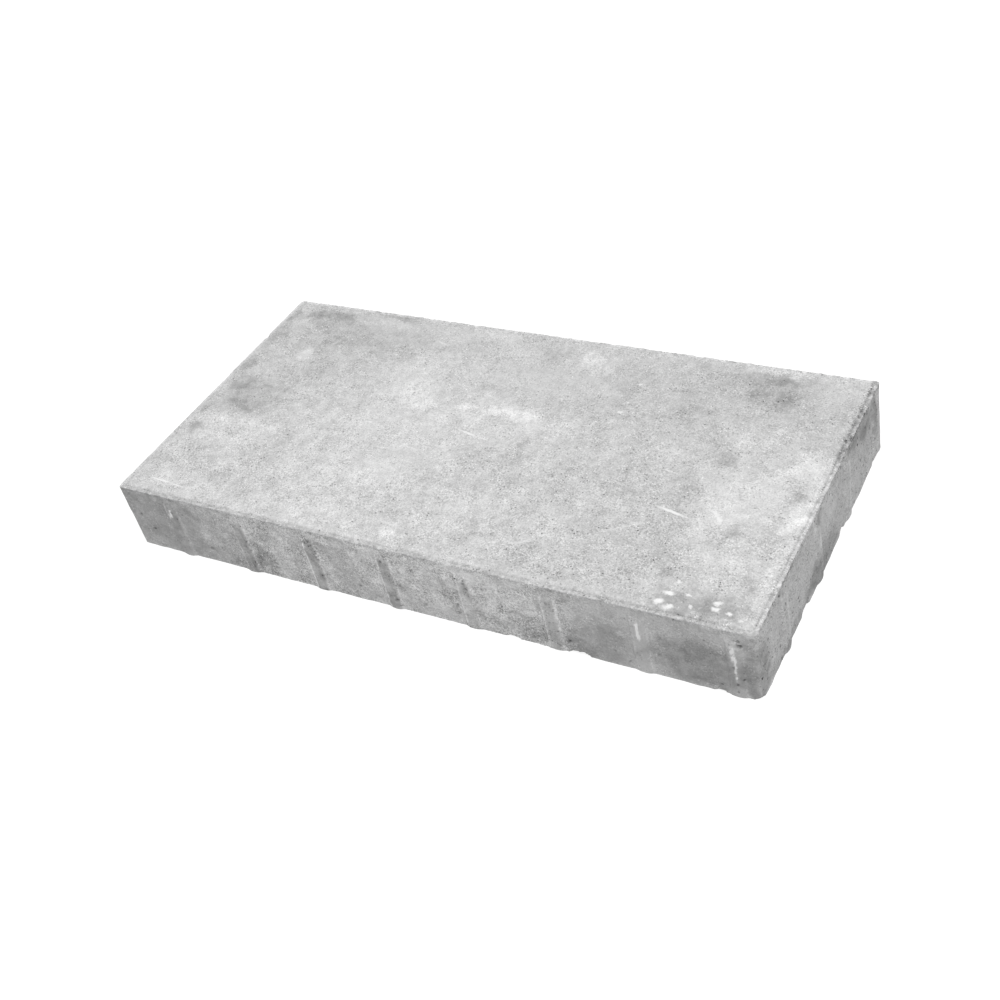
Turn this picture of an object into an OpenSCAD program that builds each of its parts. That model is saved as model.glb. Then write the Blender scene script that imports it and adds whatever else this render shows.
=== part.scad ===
// Rectangular pressed-concrete paving stone with a bevelled walking face
// and upright spacer nibs on all four sides.
// Origin: middle of the bed face. +X runs along the stone, +Z up.

/* [Stone] */
// Length of the laying grid: one stone and one joint
grid_length = 600; // [300:25:900]
// Width of the laying grid: one stone and one joint
grid_width = 300; // [150:25:600]
// Height from the bed face to the walking face
thickness = 70; // [40:5:120]
// Radius of the four upright corners
corner_radius = 2; // [0.5:0.5:5]

/* [Pressed top edge] */
// Width of the flat rim that the press leaves round the top
rim_width = 3; // [1:0.5:6]
// Width of the bevel between the rim and the walking face
bevel_width = 3.5; // [1:0.5:10]
// Height of the bevel
bevel_height = 1.5; // [0.5:0.5:6]

/* [Spacer nibs] */
// Joint between two laid stones, which is how far a nib stands out
joint_width = 2; // [1:0.5:5]
// Width of the flat crest of a nib
nib_crest = 10; // [6:1:16]
// Slope of the two flanks of a nib, away from the side of the stone
nib_flank_angle = 45; // [30:5:75]
// Distance between neighbouring nibs on a side
nib_pitch = 75; // [50:25:100]
// Height of plain side between the top of a nib and the rim
nib_clear = 8; // [3:1:20]
// Height of the ramp at the top of a nib
nib_ramp = 6; // [2:1:15]

/* [Hidden] */
$fn = 64;

body_length = grid_length - joint_width;
body_width = grid_width - joint_width;
rim_height = thickness - bevel_height;

nib_top = rim_height - nib_clear;
// A nib runs on behind the side by its root, with the slopes that it has outside
nib_root = 0.5;
nib_root_half = nib_crest / 2 + (joint_width + nib_root) / tan(nib_flank_angle);
nib_root_top = nib_top + nib_ramp * nib_root / joint_width;

// The nibs of a side lie a quarter pitch to the right of its middle, seen from
// outside, so the nibs of two stones that are laid side by side never meet
nib_shift = nib_pitch / 4;

// Places of the nibs along a side that spans one grid size
function nib_places(grid) =
    let (count = floor(grid / nib_pitch))
    [for (i = [0:count - 1]) (i - (count - 1) / 2) * nib_pitch + nib_shift];

// Upright section of the stone: flat bed, plain sides, rim, bevel and walking face
module section(span) {
    rim_inner = span / 2 - rim_width;
    bevel_inner = rim_inner - bevel_width;
    polygon([
        [-span / 2, 0],
        [span / 2, 0],
        [span / 2, rim_height],
        [rim_inner, rim_height],
        [bevel_inner, thickness],
        [-bevel_inner, thickness],
        [-rim_inner, rim_height],
        [-span / 2, rim_height]
    ]);
}

// Outline of the stone seen from above, without its nibs
module outline() {
    inner_length = body_length - 2 * corner_radius;
    inner_width = body_width - 2 * corner_radius;
    square([body_length, inner_width], center = true);
    square([inner_length, body_width], center = true);
    for (x = [-inner_length / 2, inner_length / 2], y = [-inner_width / 2, inner_width / 2])
        translate([x, y]) circle(corner_radius);
}

// The stone without its nibs: what both sections and the outline have in common
module block() {
    intersection() {
        rotate([90, 0, 90])
            linear_extrude(body_length, center = true) section(body_width);
        rotate([90, 0, 0])
            linear_extrude(body_width, center = true) section(body_length);
        linear_extrude(thickness) outline();
    }
}

// A nib on a side that faces -Y and lies at y = 0: its plan cut by its ramp.
// It runs down to the bed, so that the pressed stone can leave its mould.
module nib() {
    intersection() {
        linear_extrude(nib_root_top)
            polygon([
                [-nib_crest / 2, -joint_width],
                [nib_crest / 2, -joint_width],
                [nib_root_half, nib_root],
                [-nib_root_half, nib_root]
            ]);
        rotate([90, 0, 90])
            linear_extrude(2 * nib_root_half, center = true)
                polygon([
                    [-joint_width, 0],
                    [nib_root, 0],
                    [nib_root, nib_root_top],
                    [-joint_width, nib_top - nib_ramp]
                ]);
    }
}

// All nibs of one side: the side spans one grid size and lies at half the depth
module nib_row(grid, depth) {
    for (x = nib_places(grid))
        translate([x, -depth / 2, 0]) nib();
}

module paving_stone() {
    color([0.71, 0.71, 0.7])
        union() {
            block();
            for (half_turn = [0, 180]) {
                rotate(half_turn) nib_row(grid_length, body_width);
                rotate(half_turn + 90) nib_row(grid_width, body_length);
            }
        }
}

paving_stone();
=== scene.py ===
"""Pressed-concrete paving stone: its worn cast surface, a studio floor, soft light and a camera."""
import math

import bpy
import numpy as np
from mathutils import Matrix, Vector, noise
from mathutils.geometry import delaunay_2d_cdt


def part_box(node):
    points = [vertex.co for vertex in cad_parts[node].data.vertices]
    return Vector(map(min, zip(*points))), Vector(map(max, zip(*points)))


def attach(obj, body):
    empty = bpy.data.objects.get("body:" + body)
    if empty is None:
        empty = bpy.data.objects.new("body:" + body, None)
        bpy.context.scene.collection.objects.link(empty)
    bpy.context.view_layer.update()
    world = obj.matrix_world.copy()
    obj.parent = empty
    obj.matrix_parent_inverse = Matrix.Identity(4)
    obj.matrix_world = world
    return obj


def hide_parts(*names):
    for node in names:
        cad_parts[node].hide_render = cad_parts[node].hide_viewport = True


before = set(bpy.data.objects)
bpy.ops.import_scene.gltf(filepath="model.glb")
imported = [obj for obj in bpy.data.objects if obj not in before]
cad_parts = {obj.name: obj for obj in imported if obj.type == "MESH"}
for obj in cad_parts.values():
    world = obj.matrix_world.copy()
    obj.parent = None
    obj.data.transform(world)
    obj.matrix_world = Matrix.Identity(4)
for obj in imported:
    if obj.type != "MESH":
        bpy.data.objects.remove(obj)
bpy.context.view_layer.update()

MM = 0.001
NODE = "paving_stone"

# Sizes of the stone, in millimetres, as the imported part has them
CAD_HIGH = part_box(NODE)[1] / MM
JOINT = 2.0
HALF_LENGTH = CAD_HIGH.x - JOINT
HALF_WIDTH = CAD_HIGH.y - JOINT
THICKNESS = CAD_HIGH.z
CORNER_RADIUS = 2.0
RIM_WIDTH = 3.0
BEVEL_WIDTH = 3.5
BEVEL_HEIGHT = 1.5
RIM_HEIGHT = THICKNESS - BEVEL_HEIGHT
NIB_PITCH = 75.0
NIB_CREST = 10.0
NIB_TOP = RIM_HEIGHT - 8.0
NIB_RAMP = 6.0
RAMP_FOOT = NIB_TOP - NIB_RAMP
EDGE_WIDTH = RIM_WIDTH + BEVEL_WIDTH

# Spacing of the mesh, in millimetres, and how far from a nib its close spacing reaches
NIB_STEP = 0.95
SIDE_STEP = 1.9
NIB_ZONE = 9.0
TOP_STEP = 2.5
BED_STEP = 12.0
CORNER_POINTS = 3
# Steps between the rows of the sides, and their growth away from the edges and the nib ramps
EDGE_ROW = 0.5
RAMP_ROW = 1.0
MOST_ROW = 2.0
EDGE_GROWTH = 0.22
RAMP_GROWTH = 0.25
# Rows end this far below the rim, and the last one is then set to its own place
ROWS_UNTIL = 1.2
LAST_ROW = 0.9
# The rows above the sides. Round the arris: inset, depth below the rim, and rise of the normal.
# Then insets on the rim, shares of the bevel, and insets on the walking face beyond the bevel.
ARRIS_ROWS = [(0.14, 0.42, 0.4), (0.45, 0.12, 0.8)]
RIM_INSETS = [0.9, 1.6, 2.3, RIM_WIDTH]
BEVEL_SHARES = [0.15, 0.4, 0.65, 0.88]
BEVEL_RISE = 0.9
TOP_INSETS = [0.1, 1.0, 2.4]
# How far inside the outline the grids of the two flat faces end
TOP_MARGIN = EDGE_WIDTH + TOP_INSETS[-1] + 0.8 * TOP_STEP
BED_MARGIN = 16.0
# Distance at which points are joined, and bend in degrees above which an edge stays sharp
MERGE = 1e-6
SHARP_ANGLE = 50

# The four sides in the order of the outline: each is the one before it turned by 90 degrees
FRONT, RIGHT, BACK, LEFT = range(4)
# Half the length of each of them
SIDE_HALF = [HALF_LENGTH, HALF_WIDTH, HALF_LENGTH, HALF_WIDTH]

# Broad tones of the walking face: place, half sizes, turn in degrees, and tone, which is how
# much lighter (+) or darker (-) the concrete is there
TOP_CLOUDS = [
    (-245, 60, 75, 85, 0, -0.05),
    (-190, 108, 90, 28, 0, -0.12),
    (150, 95, 80, 45, 0, -0.09),
    (235, 95, 60, 45, 0, -0.04),
    (150, -15, 45, 50, 0, -0.03),
    (-95, -20, 75, 95, -17, 0.11),
    (15, 20, 70, 26, -2, 0.11),
    (-30, -105, 120, 45, 0, 0.06),
    (170, -100, 60, 40, 0, -0.04),
    (-225, -70, 60, 40, 0, 0.04),
    (-245, -6, 34, 26, -15, -0.12),
    (227, 115, 34, 26, 0, -0.1),
    (245, -20, 40, 42, 0, 0.08),
    (-190, -129, 100, 11, 0, 0.07),
    (-103, 62, 22, 40, 0, 0.09),
    (-140, -138, 140, 8, 0, 0.06),
    (289, 86, 9, 44, 0, -0.09),
]

# Stains and pale bloom with crisper outlines, in the same way
TOP_STAINS = [
    # Left end, dark
    (-262, 129, 11, 10, 0, -0.24),
    (-240, 132, 24, 9, 3, -0.22),
    (-223, 128, 6, 7, 0, -0.14),
    (-291, 120, 5, 8, 0, -0.25),
    (-286, 90, 9, 19, 0, -0.18),
    (-286, 38, 9, 14, 0, -0.2),
    (-274, 9, 18, 14, -10, -0.19),
    (-247, 10, 12, 5, 0, -0.16),
    (-262, -11, 10, 8, 0, -0.12),
    (-257, -21, 21, 8, 0, -0.22),
    (-222, 18, 4, 32, 0, -0.13),
    (-280, -56, 6, 14, 25, -0.26),
    (-288, -32, 5, 7, 0, -0.16),
    (-176, -58, 8, 13, 0, -0.14),
    (-167, 86, 7, 3.5, -5, -0.26),
    (-220, 89, 11, 5, -20, -0.16),
    (-167, 140, 32, 5, 0, -0.18),
    # Left end, pale
    (-183, 129, 34, 4, 0, 0.16),
    (-272, 112, 9, 7, 15, 0.2),
    (-262, 86, 12, 4, 25, 0.15),
    (-238, 66, 8, 15, 0, 0.17),
    (-233, 3, 9, 4, 0, 0.12),
    (-262, -43, 11, 8, 0, 0.2),
    (-225, -43, 27, 8, 3, 0.22),
    (-228, -65, 32, 9, 0, 0.12),
    (-232, -57, 6, 6, 0, -0.18),
    (-293, -55, 5, 10, 0, 0.2),
    (-176, -11, 10, 7, 0, 0.14),
    (-262, -125, 12, 10, 0, 0.11),
    # Middle
    (-90, 26, 40, 24, 0, 0.08),
    (-64, 138, 22, 10, 0, 0.13),
    (-76, -76, 14, 13, 0, 0.11),
    (5, 34, 24, 8, 0, 0.22),
    (28, 28, 11, 6, 0, 0.2),
    (-34, 32, 10, 5, 0, 0.2),
    (-148, -20, 9, 50, -17, -0.11),
    (-16, 10, 4, 8, 0, 0.18),
    (5, 121, 14, 12, 0, -0.16),
    (48, 121, 12, 9, 0, 0.22),
    (-5, 64, 6, 3, 20, -0.18),
    (-66, 14, 5, 2.5, 0, -0.16),
    (-29, -19, 3, 3.5, 0, -0.14),
    (-35, 4, 9, 6, 0, -0.13),
    (42, -8, 5, 18, 0, -0.15),
    (-17, -132, 10, 8, 0, 0.2),
    # Right end, dark
    (230, 129, 26, 8, 0, -0.25),
    (236, 109, 15, 8, 0, -0.19),
    (211, 110, 7, 10, 0, -0.18),
    (231, 97, 8, 11, 25, -0.14),
    (185, 130, 20, 7, 0, -0.12),
    (142, 134, 16, 6, 0, -0.13),
    (214, 20, 8, 10, 0, -0.18),
    (199, 36, 13, 7, -20, -0.12),
    (117, 52, 6, 4, 0, -0.13),
    (142, -10, 5, 9, 0, -0.14),
    (160, -40, 17, 9, 0, -0.1),
    (198, -20, 5, 12, 0, -0.15),
    (281, -7, 10, 7, 0, -0.16),
    (247, -54, 10, 5, 0, -0.24),
    (214, -110, 8, 9, 0, -0.2),
    (250, -133, 38, 11, 2, -0.32),
    (279, -104, 8, 15, 20, -0.2),
    # Right end, pale
    (228, 143, 42, 6, 0, 0.22),
    (216, 52, 11, 9, 0, 0.13),
    (243, 66, 8, 11, 0, 0.12),
    (279, 28, 15, 15, 0, 0.24),
    (262, 15, 13, 10, 0, 0.12),
    (239, -24, 29, 28, 0, 0.12),
    (288, -32, 8, 18, 0, 0.22),
    (290, -112, 6, 30, 0, 0.14),
    (290, -60, 6, 30, 0, 0.14),
    (291, 8, 7, 34, 0, 0.12),
    (229, 9, 4, 12, 0, 0.13),
    (218, -60, 7, 18, 0, 0.13),
    (252, -86, 15, 11, -20, 0.12),
]

# Where the grain of the walking face is weaker, in the same way
TOP_SMOOTH = [
    (250, -128, 45, 18, 0, -0.45),
    (-255, -5, 40, 30, 0, -0.3),
    (-60, -50, 38, 22, 0, -0.3),
    (20, 85, 60, 25, 0, -0.25),
    (-160, 125, 90, 18, 0, -0.25),
    (240, -20, 30, 30, 0, -0.2),
]

# Stains and bloom of the front: place along it, height, half sizes and tone
FRONT_PATCHES = [
    (-268, 40, 48, 48, -0.23),
    (-205, 10, 34, 15, -0.16),
    (-222, 58, 14, 10, -0.08),
    (-151, 18, 14, 18, -0.19),
    (-213, 34, 8, 8, 0.16),
    (-208, 57, 9, 5, 0.1),
    (-190, 40, 4, 4, 0.18),
    (-145, 56, 18, 11, 0.13),
    (-118, 40, 14, 14, 0.1),
    (-82, 32, 9, 9, 0.22),
    (-72, 14, 24, 10, -0.06),
    (-62, 45, 12, 30, -0.08),
    (-44, 47, 16, 11, 0.14),
    (40, 40, 95, 44, 0.12),
    (-80, 40, 60, 40, 0.05),
    (-6, 42, 9, 14, 0.14),
    (75, 57, 15, 7, 0.15),
    (72, 36, 15, 13, 0.12),
    (108, 40, 16, 16, 0.08),
    (118, 14, 14, 12, -0.1),
    (172, 18, 34, 26, -0.22),
    (178, 32, 16, 9, -0.08),
    (250, 22, 42, 28, -0.3),
    (250, 42, 24, 14, -0.12),
    (296, 32, 12, 36, -0.28),
    (210, 12, 12, 10, 0.1),
    (291, 47, 4, 5, 0.12),
    (57, 45, 4, 10, -0.26),
    (60, 61, 60, 6, 0.12),
    (-70, 64, 70, 6, 0.16),
]
# The same for the right side
RIGHT_PATCHES = [
    (-146, 26, 18, 32, -0.3),
    (-108, 34, 22, 26, 0.08),
    (-8, 10, 36, 17, -0.34),
    (-20, 22, 10, 10, -0.12),
    (-60, 45, 30, 18, 0.08),
    (16, 47, 20, 17, 0.1),
    (-12, 61, 9, 8, -0.22),
    (72, 66, 16, 6, -0.26),
    (98, 60, 33, 12, -0.31),
    (108, 50, 18, 9, -0.12),
    (130, 46, 7, 24, -0.28),
    (145, 35, 5, 34, 0.1),
    (80, 24, 28, 16, 0.05),
    (-75, 4, 65, 7, -0.2),
]
SIDE_PATCHES = [FRONT_PATCHES, RIGHT_PATCHES]

# Where the front is smooth within its coarse part: place along it, height, half sizes and share
FRONT_SMOOTH = [
    (-63, 40, 13, 40, 0.7),
    (-190, 35, 12, 40, 0.3),
    (-35, 8, 20, 10, 0.6),
    (18, 8, 30, 9, 0.6),
    (85, 60, 30, 7, 0.6),
    (40, 6, 12, 8, 0.6),
]

# How the nibs of the front are marked, from left to right: pale line at the left edge, partly worn
# and partly a painted highlight on the lit flank, tone of the crest, painted shade on its right
# edge, and pale line at the right foot
FRONT_NIBS = [
    (0.08, -0.06, -0.03, 0.12),
    (0.18, -0.22, -0.2, 0.06),
    (0.75, -0.34, -0.06, 0.08),
    (0.5, -0.3, -0.06, 0.08),
    (0.5, -0.1, -0.04, 0),
    (0.45, -0.06, -0.06, 0.28),
    (0.14, -0.02, 0, 0.06),
    (0, -0.04, 0, 0.04),
]
# On the right side the right edge of a nib gets a painted highlight instead of painted shade
RIGHT_NIB = (0.00, 0.00, 0.20, 0.00)
HIDDEN_NIB = (0.25, -0.10, -0.06, 0.20)
NIB_MARKS = [FRONT_NIBS, [RIGHT_NIB] * 4, [HIDDEN_NIB] * 8, [HIDDEN_NIB] * 4]
# Where the two lines and the right edge lie from the middle of a nib: place and width
NIB_LINES = [(-4.8, 0.9), (3.8, 1.6), (7.0, 1.0)]
# Where the tone of a crest starts and ends across the nib, and how far its outline strays
CREST_START = (-4.6, -3.8)
CREST_END = (5.5, 6.5)
NIB_RAGGED = 0.7
# Where the tone of a ramp starts and ends in height, where the other marks end, and its tone: a
# painted shade that offsets the light the ramp catches, and in part the dark, pitted nib tops
RAMP_START = (RAMP_FOOT - 2, RAMP_FOOT + 2)
RAMP_END = (NIB_TOP - 1, NIB_TOP + 2)
MARKS_END = (RAMP_FOOT - 2, NIB_TOP - 1)
RAMP_PAINTED_SHADE = -0.14
# How much weaker the grain is on the crests of the four sides
CREST_SMOOTH = [0.6, 0.0, 0.6, 0.6]

# Tones of the pressed edge along the four sides: rim, groove inside it, and bevel. They differ
# by side partly as painted light that offsets how the lamp lights each side's edge, and the
# groove's dark tone is partly painted shade in the step and partly dirt
EDGE_TONES = [
    (-0.07, -0.12, 0.05),
    (0.09, -0.19, 0.03),
    (0.08, 0.11, 0.07),
    (0.09, 0.07, 0.08),
]
# How ragged the pressed edge is along the four sides
EDGE_ROUGH = [0.45, 0.75, 0.75, 0.45]
# Pieces broken out of the arris: side, place along it, half length and depth
EDGE_CHIPS = [
    (LEFT, -85, 3.5, 1.8),
    (BACK, 70, 3, 0.9),
    (BACK, -140, 4, 0.8),
]
# Dirt on the pressed edge: side, place along it, half length, and tone of the rim and inside it
EDGE_STAINS = [
    (FRONT, 215, 80, -0.03, -0.15),
    (FRONT, -215, 80, -0.05, -0.06),
    (RIGHT, 90, 55, -0.36, -0.32),
]
# How far noise moves the ends of that dirt, and its share on the bevel
EDGE_STAIN_WARP = 12.0
BEVEL_DIRT = 0.35
# Where the tones of the edge lie: starts and ends in height or inset, or middle and width
RIM_START = (RIM_HEIGHT - 1.4, RIM_HEIGHT - 0.6)
RIM_END = (2.4, 3.2)
GROOVE = (RIM_WIDTH + 0.5, 1.0)
BEVEL_START = (3.2, 4.2)
BEVEL_END = (5.5, 7.0)
# Middle and width of the painted shadow just below the rim
BELOW_RIM = (RIM_HEIGHT - 2.2, 0.9)
CRUMB_ZONE = (RIM_HEIGHT - 3.0, 3.0)
# Noise that makes a crumb there, and how dark crumbs are below the rim of the four sides
TONE_CRUMBS = (0.2, 0.5)
CRUMB_DARKENING = [0.15, 0.28, 0.15, 0.15]

# Pale scuffs on nibs of the front: place along it, lower and upper end, half width
SCUFFS = [
    (-243.8, 46, 55, 1.6),
    (-246, 45, 50, 1.2),
    (206.3, 36, 55, 1.3),
    (207.3, 37, 46, 1.3),
    (280.4, 40, 53, 2.6),
    (281.8, 18, 48, 1.4),
]
# How softly a scuff ends below and above, and how pale it is
SCUFF_LOW = 3
SCUFF_HIGH = 2
SCUFF_TONE = 1.1

# Open pores on the front: place along it, height, radius and depth
FRONT_PORES = [
    (-97, 53, 2.8, 1.8),
    (-93, 56, 1.8, 1.2),
    (-20, 53, 2, 1.3),
    (-15, 11, 2.2, 1.4),
    (59, 45, 2.4, 1.6),
    (58, 50, 1.8, 1.2),
    (66, 46, 1.8, 1.2),
    (72, 48, 1.5, 0.9),
    (77, 49, 1.5, 0.9),
    (83, 49, 1.4, 0.8),
    (45, 22, 2.2, 1.2),
    (144, 12, 2.6, 1.6),
    (286, 55, 2.6, 2),
    (285, 59, 1.8, 1.4),
    (-286, 38, 1.8, 1),
    (-277, 23, 1.6, 0.8),
    (-213, 15, 2, 1.2),
    (-52, 15, 2.2, 1.2),
    (44, 13, 2, 1.2),
    (12, 13, 1.6, 1),
    (76, 54, 1.6, 0.9),
    (122, 18, 1.8, 1),
    (195, 7, 1.6, 0.9),
    (221, 23, 1.4, 0.8),
]
# The same for the other sides
RIGHT_PORES = [
    (-114, 5, 2, 1.2),
    (-95, 57, 1.8, 1),
    (-61, 40, 1.6, 0.9),
    (-6, 63, 2.2, 1.2),
    (0, 6, 2.4, 1.6),
    (25, 61, 1.6, 0.9),
    (43, 9, 1.8, 1.2),
    (46, 28, 1.6, 0.9),
    (60, 37, 2.2, 1.3),
    (103, 24, 1.8, 1),
    (118, 43, 2.6, 1.2),
    (137, 18, 2, 1),
]
BACK_PORES = [
    (-120, 48, 2.4, 1.6),
    (60, 20, 2, 1.4),
    (190, 52, 2.6, 1.6),
]
LEFT_PORES = [
    (-40, 50, 2.2, 1.4),
    (85, 15, 2.4, 1.6),
]
SIDE_PORES = [FRONT_PORES, RIGHT_PORES, BACK_PORES, LEFT_PORES]
# The darkening inside the open pores is painted shade
PORE_PAINTED_SHADE = -0.45

# Where the front becomes coarse and smooth again, the plain share of coarse surface on the
# other sides, and the greatest share
COARSE_START = (-230, -150)
COARSE_END = (120, 165)
COARSE_OTHERS = 0.1
COARSE_MOST = 1.1

# How strong the grain is on the smooth parts of the four sides, and how much a coarse part adds
SIDE_GRAIN = [0.80, 0.90, 0.85, 0.85]
COARSE_GRAIN = 0.9
# What a ragged arris adds below it, and where, as height and width
ARRIS_GRAIN = 4.0
NEAR_ARRIS = (RIM_HEIGHT - 2.0, 3.0)
# The same for the pressed edge, and what its raggedness adds
EDGE_GRAIN = 0.5
ROUGH_GRAIN = 0.8
# The same for the walking face, its loss for each millimetre to the back, and the bed
TOP_GRAIN = 1.04
TOP_WEAR = 0.0012
BED_GRAIN = 1.6
# How dark the fine pits are on the four sides, and on the faces that were pressed
PITTED = [0.7, 2.0, 0.8, 0.8]
PITTED_FACES = 0.3

# Broken places along the bottom edge: side, place along it, half length, height and depth
CHIPS = [
    (FRONT, 92, 7, 2, 3),
    (FRONT, 151, 9, 3.6, 6),
    (FRONT, 267, 4, 1.8, 3),
    (RIGHT, -54, 8, 4.5, 5),
    (RIGHT, 38, 5, 5, 4),
    (RIGHT, 131, 10, 6, 2.4),
    (BACK, 40, 9, 4, 5),
    (BACK, -180, 6, 3, 4),
    (LEFT, 20, 8, 3.5, 5),
]
# Broken bottom corners: signs of the corner's x and y, reach, height and depth
CORNER_CHIPS = [
    (1, -1, 6, 3.5, 2),
    (-1, 1, 8, 5, 4),
]
# Wear of the upright corners: signs of the corner's x and y, and amount
CORNER_WEAR = [
    (1, -1, 0.9),
    (1, 1, 0.5),
    (-1, 1, 0.8),
    (-1, -1, 0.25),
]
# How far that wear reaches from a corner, between which heights it eases off, and by how much
CORNER_REACH = 7.0
CORNER_TOP = (56.0, 66.0)
CORNER_EASE = 0.7
# Wear of the nibs: top and length of the worn ramp, and half width and height of the spread foot
WORN_TOP = NIB_TOP + 1.0
WORN_RAMP = NIB_RAMP + 3.0
FOOT_HALF = 8.0
FOOT_HEIGHT = 3.5
# How far up the sides the flash reaches
FLASH_REACH = 2.2
# Wear of the arris: its reach, how far the edge sinks and down to what depth, the noise that
# makes a crumb, a crumb's depth, and how far whole parts stand out
ARRIS_REACH = 0.9
ARRIS_SINK = 0.6
ARRIS_ZONE = 2.0
ARRIS_CRUMBS = (0.25, 0.7)
CRUMB_DEPTH = 0.5
ARRIS_FULL = 0.25
# Roughness of the rim and the bevel
RIM_ROUGH = 0.08
# The least height of a chip, so that nothing is divided by zero
LEAST_CHIP = 0.01

# Where a mark starts to fade and where it ends, counted in half sizes from its middle
FADES = {
    "cloud": (0.4, 1.4),
    "stain": (0.15, 1.55),
    "smooth": (0.6, 1.3),
    "side_stain": (0.5, 1.3),
    "edge_stain": (0.6, 1.2),
    "scuff": (0.3, 1.0),
    "pore": (0.4, 1.0),
}

# The noises in the forms and the tones: strength, size of the lumps in millimetres, octaves, seed
NOISE = {
    # Forms
    "nib_fill": (0.35, 22.0, 1, 1),
    "side_waves": (0.22, 45.0, 1, 2),
    "chip_edge": (0.35, 4.0, 2, 3),
    "coarse_lumps": (0.22, 9.0, 2, 4),
    "coarse_share": (0.4, 70.0, 2, 5),
    "coarse_grit": (0.16, 3.2, 1, 6),
    "flash": (0.6, 14.0, 2, 7),
    "arris": (1.0, 3.6, 2, 8),
    "arris_crumbs": (1.0, 13.0, 2, 9),
    "top_waves": (0.16, 60.0, 2, 10),
    "top_ripples": (0.07, 7.0, 1, 11),
    "corner_wear": (1.1, 16.0, 2, 23),
    # Outlines of the marks
    "cloud": (9.0, 24.0, 3, 12),
    "stain": (7.0, 11.0, 3, 12),
    "smooth": (6.0, 12.0, 3, 12),
    "side_stain": (6.0, 18.0, 3, 15),
    "scuff_edge": (1.0, 3.0, 2, 20),
    "nib_edge": (1.0, 5.0, 2, 22),
    # Tones and grain
    "stain_breaks": (0.5, 9.0, 3, 14),
    "side_stain_breaks": (0.5, 8.0, 3, 17),
    "hidden_stains": (0.24, 55.0, 3, 18),
    "nib_streaks": (0.5, 9.0, 2, 19),
    "edge_mottle": (1.0, 6.0, 3, 21),
    "scuff_breaks": (1.7, 2.6, 2, 24),
    "grain_patches": (0.6, 13.0, 2, 25),
    "bed_tone": (0.12, 50.0, 3, 26),
    "nib_blotches": (0.8, 14.0, 2, 27),
    "edge_grain": (1.0, 3.2, 2, 28),
    "coarse_mottle": (0.13, 9.0, 2, 29),
    "coarse_clouds": (0.15, 26.0, 2, 30),
    "edge_crumbs": (1.0, 4.5, 2, 31),
}
# The shift from one seed to the next, and the fall-off and the spacing of the octaves
NOISE_SHIFT = Vector((17.3, 5.9, 11.7))
NOISE_OCTAVES = (1.0, 2.0)

# White lime spots on the walking face: place, half length, half width, turn in degrees and strength
LIME_SPOTS = [
    # Near the front right corner
    (225.6, -128.4, 5.6, 2.6, 0, 1),
    (221.3, -138, 5, 3.4, 25, 1),
    (230.3, -140.9, 4.8, 2.6, 5, 0.95),
    (239.7, -126.2, 2.8, 2, 0, 0.9),
    (228.4, -115.4, 2.2, 1.6, 0, 0.8),
    (245, -136.8, 1.8, 2, 0, 0.7),
    (263.3, -128.2, 4.5, 2.7, 15, 0.95),
    (263.6, -134.1, 4.5, 2.9, 0, 0.95),
    (274.8, -135.5, 3.1, 2.2, 0, 1),
    (284.5, -139, 2.6, 1.6, 0, 0.6),
    (151, -125, 2.2, 1.7, 0, 0.7),
    (290, -91, 2, 1.6, 0, 0.7),
    # In the back half
    (105, 97, 2.4, 1.5, 0, 0.7),
    (104, 71, 1.8, 1.4, 0, 0.6),
    (103, 57, 2.6, 1.6, 20, 0.7),
    (-61, 93, 2, 1.4, 0, 0.5),
    # A short curved mark
    (228, -40, 5, 2.4, -45, 0.75),
    (233, -46, 5.5, 2.2, -72, 0.75),
]
# Scratches on the walking face, in the same way
SCRATCHES = [
    (-16, -1.8, 12, 1.3, -13, 0.9),
    (1, -5.2, 5.5, 1.2, -10, 0.6),
    (194.6, -47.2, 16, 1.7, -13, 0.95),
    (175, -3, 9, 1, -8, 0.4),
    (-262, -131.5, 15, 1.2, -3, 0.85),
    (-241, -133.5, 10, 1.1, -6, 0.7),
    (-108, 113, 9, 1.4, -18, 0.4),
    (160, -76, 26, 1, 33, 0.3),
    (92, -112, 18, 1.2, 25, 0.3),
]
# How far noise moves the outlines of both and of pits, in millimetres, and its scales
SPOT_SHAKE = 5.5
SCRATCH_SHAKE = 1.8
LIME_SHAKE_SCALE = 330.0
PIT_SHAKE = 4.0
PIT_SHAKE_SCALE = 500.0
# Where spots and scratches end and start to fade, in half sizes, and how far they reach down
LIME_FADE = (1.2, 0.3)
LIME_REACH = 20

# Shares of light that lime and plain concrete reflect, and the concrete's finish
LIME = 0.95
ALBEDO = 0.62
ROUGHNESS = 0.92
SPECULAR = 0.25
BUMP_STRENGTH = 0.6
BUMP_HEIGHT = 1.0
# How fully a stain covers the concrete, how ragged it is, and the levels where it sets in
STAIN_COVER = 3.0
STAIN_RAGGED = 2.5
STAIN_STEP = (0.20, 0.80)
# The grain: scale of the sand, noise levels of flecks and of weak and strong patches, with the
# patches' strengths, and the strength under dirt
SAND_SCALE = 1000.0
DARK_FLECKS = (0.38, 0.26)
PALE_FLECKS = (0.64, 0.76)
GRAIN_PATCHES = (0.40, 0.60, 0.72, 1.20)
DIRTY_GRAIN = 0.6
# Share of a speck's radius that is at full strength
SPECK_CORE = 0.4

# The studio, in metres
WHITE = (1.0, 1.0, 1.0, 1.0)
FLOOR_HALF = 6.0
FLOOR_COLOUR = (0.35, 0.35, 0.35, 1.0)
FLOOR_GLOW = 0.78
SKY_STRENGTH = 0.62
LAMP_PLACE = (1.85, -1.85, 5.4)
LAMP_SIZE = 5.0
LAMP_POWER = 185.0

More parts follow.
